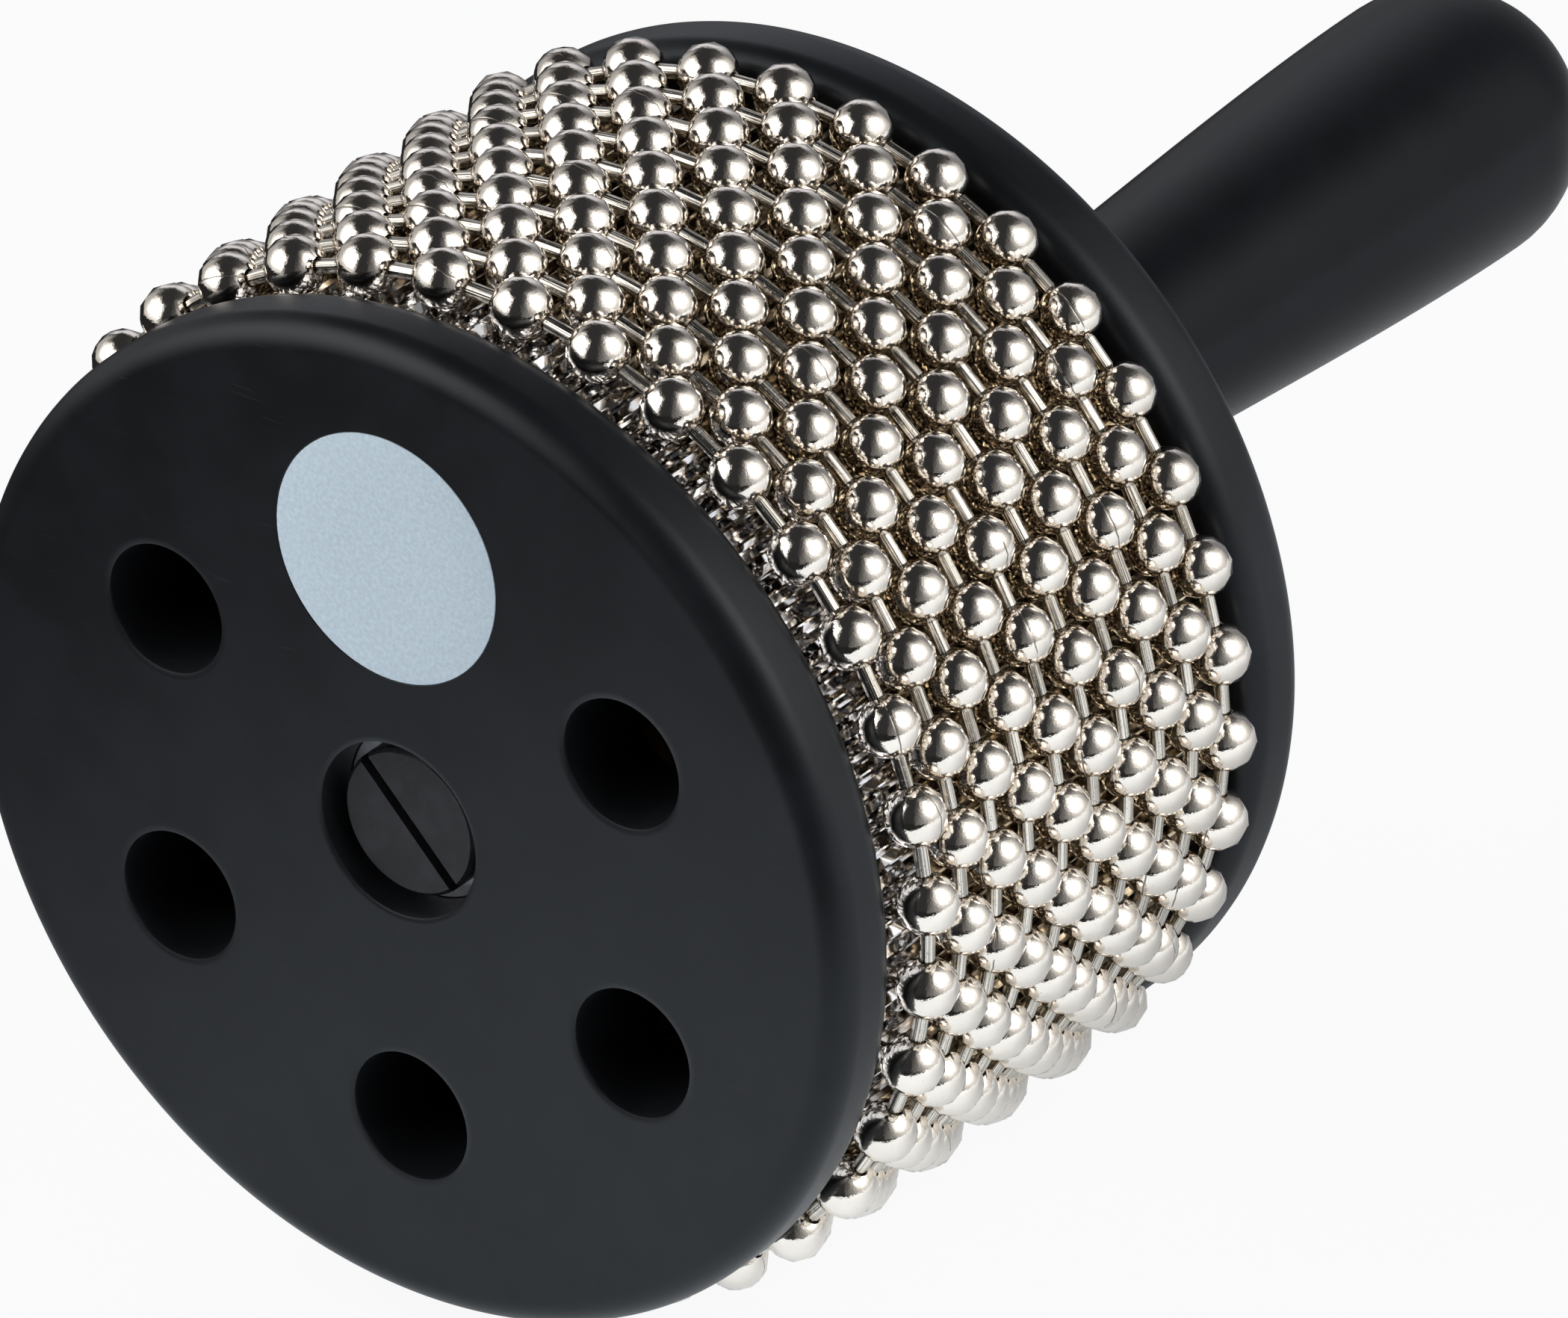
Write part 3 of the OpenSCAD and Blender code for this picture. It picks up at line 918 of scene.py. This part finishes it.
class CABASA_OT_inner_parts(bpy.types.Operator):
    """Finishes of the bolt, washer, core and insert, whose shapes are the frame's own"""

    bl_idname = "cabasa.inner_parts"
    bl_label = "Bolt and Core"

    def execute(self, context):
        tones = sizes("finishes")
        dress_node("centre_bolt", blackened_steel(tones.bolt))
        dress_node("core_dowel", turned_wood(tones.wood))
        dress_node("bolt_washer", plain_metal("Washer zinc", tones.zinc, 0.35, 1.5 * MM))
        dress_node("threaded_insert", plain_metal("Insert brass", tones.brass, 0.3, 0.8 * MM))
        return {"FINISHED"}


def loop_frames(row, half_step):
    """Where the beads of a loop stand, or with half_step the links between them: the points on
    the loop's circle, the directions along it and away from the axis, and the angle of a step.
    A link lies on the chord between two beads."""
    chain = sizes("chain")
    step = TURN / chain.beads
    turn = chain.first_turn + (step / 2 if row % 2 == 0 else 0)
    angle = turn + step * (np.arange(chain.beads) + (0.5 if half_step else 0))
    radius = CYLINDER_R + chain.clearance + chain.real_bead_d / 2
    if half_step:
        radius *= math.cos(step / 2)
    centre = around_axis(radius, middle(f"chain_{row:02d}_beads", "y"), angle)
    outward = around_axis(1, 0, angle, 0)
    # A quarter turn on
    along = outward[:, ::-1] * (-1, 1, 1)
    return centre, along, outward, step


def turned_along(centre, axis, outward, reach, width, angle):
    """A profile turned round a line through each centre, one grid each: centre + reach axis
    + width (cos b outward + sin b sideways), with the angle b and sideways along the drum."""
    cosine, sine = np.cos(angle)[..., None], np.sin(angle)[..., None]
    ring = outward[:, :, None] * cosine + AXIS_WAY * sine
    return (
        centre[:, None, None] + axis[:, :, None] * reach[:, None, None]
        + ring * width[:, None, None]
    )


def bead_shells(row):
    """A loop's beads and their middles. A ring stands at the polar angle p from the bead's
    first hole, with the width R sin p at the reach R cos p, and its axis turns from one chord's
    direction to the other's."""
    chain = sizes("chain")
    centre, along, outward, step = loop_frames(row, False)
    ball = chain.bead_d / 2
    edge = math.asin(chain.hole_d / chain.bead_d)
    polar = np.linspace(edge, math.pi - edge, BEAD_RINGS - 1)
    reach = np.append(ball * np.cos(polar), 0)
    width = np.append(ball * np.sin(polar), chain.hollow_d / 2)
    tilt = np.append(np.linspace(1, -1, BEAD_RINGS - 1), 0) * step / 2
    cosine, sine = np.cos(tilt)[None, :, None], np.sin(tilt)[None, :, None]
    axis = along[:, None] * cosine - outward[:, None] * sine
    across = outward[:, None] * cosine + along[:, None] * sine
    angle = TURN * np.arange(BEAD_SIDES) / BEAD_SIDES
    return turned_along(centre, axis, across, reach, width, angle), centre


class CABASA_OT_bead_loops(bpy.types.Operator):
    """Ten loops of hollow beads"""

    bl_idname = "cabasa.bead_loops"
    bl_label = "Bead Loops"

    def execute(self, context):
        nickel = bead_nickel(sizes("finishes").nickel)
        chance = np.random.default_rng(BEAD_SEED)
        beads = sizes("chain").beads
        for row in range(1, ROWS + 1):
            shift = np.stack([np.zeros(beads), chance.uniform(0, 1, beads)], axis=1)
            tones = np.repeat(chance.uniform(0, 1, beads), BEAD_RINGS * BEAD_SIDES)
            shells, middles = bead_shells(row)
            skin = Skin().add(shells, wrap=(True, True), uv_shift=shift)
            piece = skin.make(
                f"loop_{row:02d}_beads", nickel, body=f"chain_{row:02d}",
                rings=(BEAD_RINGS, BEAD_SIDES, middles), tones=tones,
            )
            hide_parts(f"chain_{row:02d}_beads")
        return {"FINISHED"}


class CABASA_OT_link_loops(bpy.types.Operator):
    """Headed rods that join the beads"""

    bl_idname = "cabasa.link_loops"
    bl_label = "Links"

    def execute(self, context):
        chain = sizes("chain")
        nickel = rod_nickel(sizes("finishes").rod)
        chance = np.random.default_rng(ROD_SEED)
        rod, head, end = chain.rod_d / 2, chain.head_d / 2, chain.rod_end
        tip = end + chain.head_l
        # A rod turned round its own line: pole, head, shank, head, pole
        reach = np.array([-tip, -tip, -end, -end, end, end, tip, tip])
        width = np.array([0, head, head, rod, rod, head, head, 0])
        for row in range(1, ROWS + 1):
            centre, along, outward, _ = loop_frames(row, True)
            start = chance.uniform(0, TURN, chain.beads)
            angle = start[:, None, None] + TURN * np.arange(ROD_SIDES) / ROD_SIDES
            rods = turned_along(centre, along[:, None], outward[:, None], reach, width, angle)
            # Whole UV shifts give each rod its own part of the pattern
            shift = chance.uniform(0, MOST_SHIFT, (chain.beads, 2)).round()
            skin = Skin().add(rods, uv_shift=shift)
            piece = skin.make(
                f"loop_{row:02d}_rods", nickel, body=f"chain_{row:02d}", smooth_angle=50
            )
            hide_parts(f"chain_{row:02d}_links")
        return {"FINISHED"}


# Stage


def flat_grid(centre, sideways, upwards, steps=4):
    """A flat sheet: centre + u * sideways + v * upwards, with u and v from -1 to 1."""
    share = np.linspace(-1, 1, steps + 1)
    u, v = share[None, :, None], share[:, None, None]
    return centre + u * sideways + v * upwards


def dome_grid(azimuths, elevations):
    """A part of a dome round the drum: middle + R (cos e cos a, cos e sin a, sin e), with the
    azimuth a from +X and the elevation e between limits in degrees."""
    a = np.radians(np.linspace(*azimuths, DOME_STEPS + 1))[None, :]
    e = np.radians(np.linspace(*elevations, DOME_STEPS + 1))[:, None]
    way = np.broadcast_arrays(np.cos(e) * np.cos(a), np.cos(e) * np.sin(a), np.sin(e))
    return DOME_MIDDLE + DOME_R * np.stack(way, axis=-1)


def stage_sheet(name, points, material):
    """A sheet of the studio, placed in the scene and attached to none of the cabasa's bodies."""
    sheet = placed(name, Skin().add(points, wrap=(False, False)).mesh(name), material)
    return sheet


class Cloth:
    """Diffuser cloth that glows by its place across and up, as numbers between limits. A
    sheet's columns run across it and its rows up it."""

    def __init__(self, name, across, up):
        self.tree = material_tree(name)
        place = self.tree.uv_place()
        self.u = self.tree.part(place, "Y") * (across[1] - across[0]) + across[0]
        self.v = self.tree.part(place, "X") * (up[1] - up[0]) + up[0]

    def pool(self, centre, spread):
        """Light that falls off as exp(-d^2), with d counted in spreads from the centre."""
        from_u, from_v = (self.u - centre[0]) / spread[0], (self.v - centre[1]) / spread[1]
        return ((from_u * from_u + from_v * from_v) * -1).exponential()

    def glow(self, level, tint=(1, 0.995, 0.985)):
        """The level above the dark of the world, so that a sheet's edge leaves no trace."""
        return self.tree.finish(self.tree.emission(tint, level + DARK_LEVEL))


def light_studio():
    """Two broad lamps light the drum from the right and from the front left, their places in
    degrees of azimuth and elevation, and a pale bluish wall stands behind the handle. The world
    is dark, and camera rays see it plain white."""
    limits = (-55, 115), (-4, 80)
    cloth = Cloth("Right diffuser", *limits)
    key = cloth.pool((11, 37), (24, 21)) * 4.2
    beside = cloth.pool((45, 26), (26, 22)) * 0.5
    below = cloth.pool((28, -8), (58, 42)) * 0.6
    right = stage_sheet("right_diffuser", dome_grid(*limits), cloth.glow(key + beside + below))

    limits = (-220, -86), (-4, 66)
    cloth = Cloth("Left diffuser", *limits)
    fill = cloth.u.rise(-92, -112) * cloth.u.rise(-186, -140) * cloth.v.rise(62, 42)
    foot = 0.24 + cloth.v.rise(0, 28) * 0.76
    side = cloth.u.rise(-220, -190) * cloth.u.rise(-150, -175) * cloth.v.rise(50, 25)
    level = fill * foot * 3.2 + side * 0.45
    left = stage_sheet("left_diffuser", dome_grid(*limits), cloth.glow(level))

    cloth = Cloth("Back wall", (-0.62, 0.12), (0, 0.5))
    level = 0.22 + cloth.u.rise(0.04, -0.16) * cloth.v.rise(0.08, 0.24) * 0.6
    wall = stage_sheet(
        "back_wall", flat_grid((-0.25, 0.3, 0.25), (0.37, 0, 0), (0, 0, 0.25)),
        cloth.glow(level * cloth.v.rise(0.5, 0.3), (0.93, 0.94, 1.0)),
    )
    for sheet in (right, left, wall):
        sheet.visible_camera = False

    world = bpy.data.worlds.new("Studio")
    bpy.context.scene.world = world
    tree = Tree(world)
    dark = tree.emission((0.9, 0.93, 1.0), DARK_LEVEL, "ShaderNodeBackground")
    white = tree.emission((1, 1, 1), 1.0, "ShaderNodeBackground")
    tree.finish(tree.blend(tree.ray("Camera"), dark, white), "ShaderNodeOutputWorld")


def floor_finish():
    """Pale floor. The camera sees it white with the object's shadow kept. Polished surfaces see
    the sheet's matt shading with a painted glow added, strongest in front of the drum, weaker to
    its right and faint elsewhere, then its front edge, and dark ground before that edge."""
    tree = material_tree("Pale floor")
    x, y = tree.part(tree.place, "X"), tree.part(tree.place, "Y")
    mottle = tree.noise(60 * MM)
    tone = tree.mixed(mottle, (0.78, 0.80, 0.83), (0.82, 0.84, 0.87))
    matt = tree.add("ShaderNodeBsdfDiffuse", {}, {"Color": tone})
    # Painted light: a glow for polished surfaces only, strongest in front of the drum and weaker to
    # its right
    before = y.rise(0.04, -0.13)
    aside = x.rise(0.06, 0.24)
    level = 0.05 + before * 0.5 + (1 - before) * aside * 0.28
    painted_glow = tree.emission((0.84, 0.93, 1.0), level)
    lit_and_painted = tree.add("ShaderNodeAddShader", {}, {0: matt, 1: painted_glow})
    ground = tree.emission((1, 1, 1), 0.02)
    on_sheet = y.rise(-0.226, -0.206) * x.rise(-0.15, -0.02)
    mirrored = tree.blend(on_sheet, ground, lit_and_painted)
    shown = tree.blend(tree.ray("Camera") * 0.92, matt, tree.emission((1, 1, 1), 1.0))
    return tree.finish(tree.blend(tree.ray("Glossy"), shown, mirrored))


class CABASA_OT_stage(bpy.types.Operator):
    """Floor, studio light and camera"""

    bl_idname = "cabasa.stage"
    bl_label = "Stage"

    def execute(self, context):
        view = sizes("view")
        ground = flat_grid((0, 0, CAD_BOX[0][2]), (4, 0, 0), (0, 4, 0), 8)
        stage_sheet("floor", ground, floor_finish())
        light_studio()

        forward = Vector((
            math.sin(view.azimuth) * math.cos(view.elevation),
            math.cos(view.azimuth) * math.cos(view.elevation), -math.sin(view.elevation),
        ))
        right = Vector((math.cos(view.azimuth), -math.sin(view.azimuth), 0))
        up = right.cross(forward)
        cosine, sine = math.cos(view.roll), math.sin(view.roll)
        level_right, level_up = cosine * right + sine * up, cosine * up - sine * right
        place = (
            Vector((0, FACE_Y, AXIS_Z)) + view.left * level_right + view.down * level_up
            - view.distance * forward
        )
        optics = bpy.data.cameras.new("Camera")
        optics.sensor_fit, optics.sensor_width = "HORIZONTAL", SENSOR_W
        optics.lens, optics.clip_end = view.focal, CLIP_END
        camera = bpy.data.objects.new("Camera", optics)
        context.scene.collection.objects.link(camera)
        columns = Matrix((level_right, level_up, -forward)).transposed()
        camera.matrix_world = Matrix.Translation(place) @ columns.to_4x4()
        context.scene.camera = camera
        context.scene.view_settings.view_transform = "Standard"
        return {"FINISHED"}


OPERATORS = (
    CABASA_OT_stage,
    CABASA_OT_front_disc,
    CABASA_OT_rear_disc,
    CABASA_OT_badge,
    CABASA_OT_steel_cylinder,
    CABASA_OT_handle,
    CABASA_OT_inner_parts,
    CABASA_OT_bead_loops,
    CABASA_OT_link_loops,
)

GROUPS = {
    "discs": CabasaDiscs, "cylinder": CabasaCylinder, "chain": CabasaChain,
    "handle": CabasaHandle, "finishes": CabasaFinishes, "view": CabasaView,
}


class CABASA_PT_build(bpy.types.Panel):
    """Lists the cabasa's pieces and their sizes"""

    bl_label = "Cabasa"
    bl_idname = "CABASA_PT_build"
    bl_space_type = "VIEW_3D"
    bl_region_type = "UI"
    bl_category = "Cabasa"

    def draw(self, context):
        column = self.layout.column(align=True)
        for operator in OPERATORS:
            column.operator(operator.bl_idname)
        for title, group in GROUPS.items():
            box = self.layout.box()
            box.label(text=title.capitalize())
            for key in group.__annotations__:
                box.prop(sizes(title), key)


CLASSES = (*GROUPS.values(), *OPERATORS, CABASA_PT_build)


def register():
    for cls in CLASSES:
        bpy.utils.register_class(cls)
    for title, group in GROUPS.items():
        setattr(bpy.types.Scene, PREFIX + title, PointerProperty(type=group))


def unregister():
    for title in GROUPS:
        delattr(bpy.types.Scene, PREFIX + title)
    for cls in reversed(CLASSES):
        bpy.utils.unregister_class(cls)


def main():
    """Builds the stage and every piece."""
    register()
    for operator in OPERATORS:
        getattr(bpy.ops.cabasa, operator.bl_idname.split(".")[1])()


if __name__ == "__main__":
    main()
